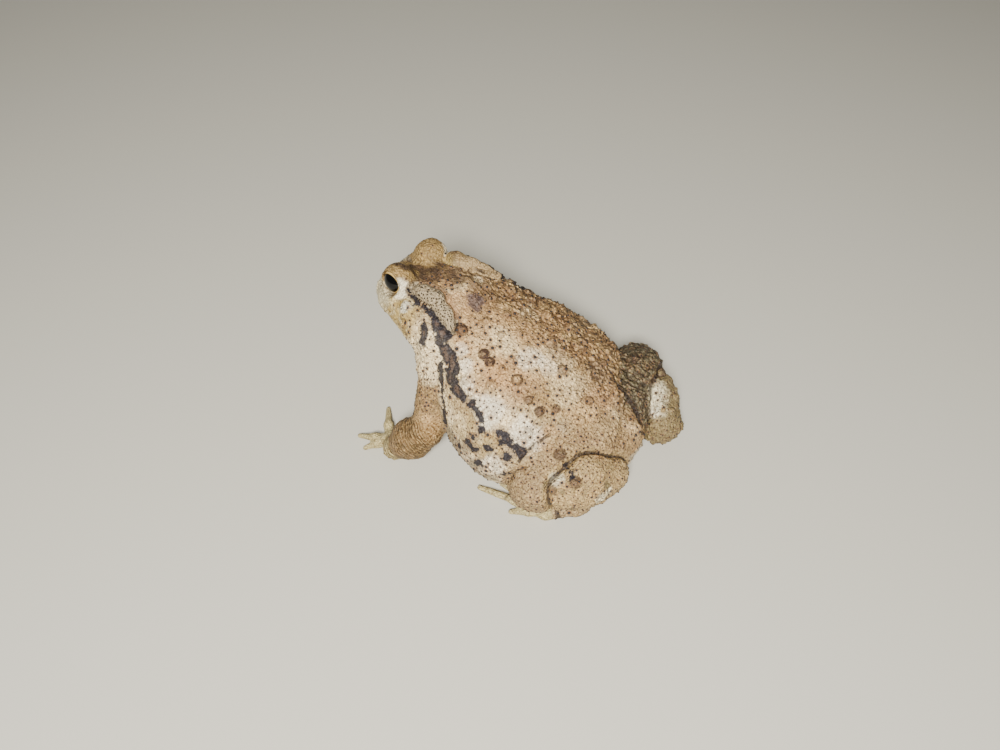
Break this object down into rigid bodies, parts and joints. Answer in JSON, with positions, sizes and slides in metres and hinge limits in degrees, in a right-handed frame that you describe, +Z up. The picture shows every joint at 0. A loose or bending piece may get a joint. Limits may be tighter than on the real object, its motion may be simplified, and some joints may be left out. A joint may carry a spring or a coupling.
{
  "type": "asiatic toad",
  "caption": "Life-size model of a toad at rest, head raised on its front legs, hind legs folded, with a warty back and long glands behind the eyes.",
  "frame": {"origin": "on the floor, under the centre of the toad's bounding box", "axes": "+Z up from the floor; -Y the way the head faces; +X to the toad's left"},
  "size_m": [0.081, 0.102, 0.0527],
  "materials": {
    "skin": "dry, warty, satin",
    "eye": "wet gloss"
  },
  "bodies": {
    "root": {"head": "skin", "torso": "skin", "parotoid_left": "skin", "parotoid_right": "skin", "upper_arm_left": "skin", "upper_arm_right": "skin", "forearm_left": "skin", "forearm_right": "skin", "hand_left": "skin", "hand_right": "skin", "thigh_left": "skin", "thigh_right": "skin", "shank_left": "skin", "shank_right": "skin", "foot_left": "skin", "foot_right": "skin", "eye_left": "eye", "eye_right": "eye"}
  },
  "joints": []
}
